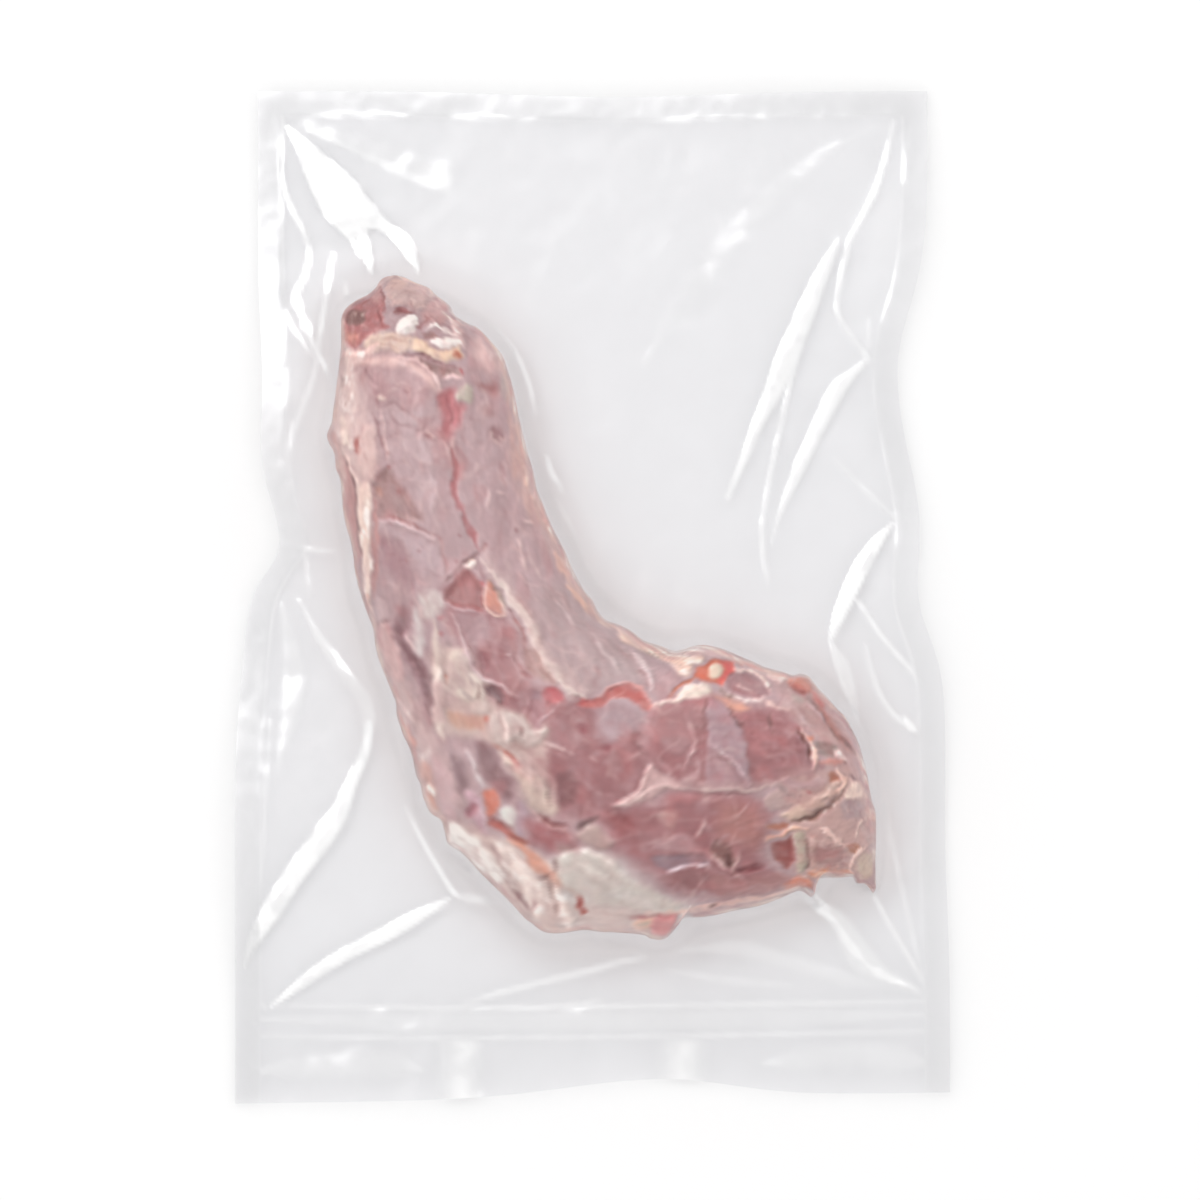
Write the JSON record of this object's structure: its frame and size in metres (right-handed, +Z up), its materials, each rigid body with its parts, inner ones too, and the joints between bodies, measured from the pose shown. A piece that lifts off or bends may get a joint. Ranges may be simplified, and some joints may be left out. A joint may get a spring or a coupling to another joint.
{
  "type": "pack of mutton neck",
  "caption": "Bent piece of raw mutton neck in a clear vacuum bag: the film clings to the meat and runs out flat to a wavy sealed rim.",
  "frame": {"origin": "middle of the bag's outline, on the surface that the pack rests on", "axes": "+X across the bag, to the side that the lower end of the neck points to; +Y along the bag to its factory-sealed end, where the narrow end of the neck lies; +Z up from the surface"},
  "size_m": [0.25, 0.354, 0.0587],
  "materials": {
    "raw_neck": "wet raw meat under film: mauve-pink muscle and membrane, cream fat, orange-pink edges, dark red seams",
    "clear_film": "clear, glossy, crinkled nylon and polythene film, slightly hazy where the two layers are welded"
  },
  "bodies": {
    "root": {"sealed_pack": "raw_neck"}
  },
  "joints": []
}
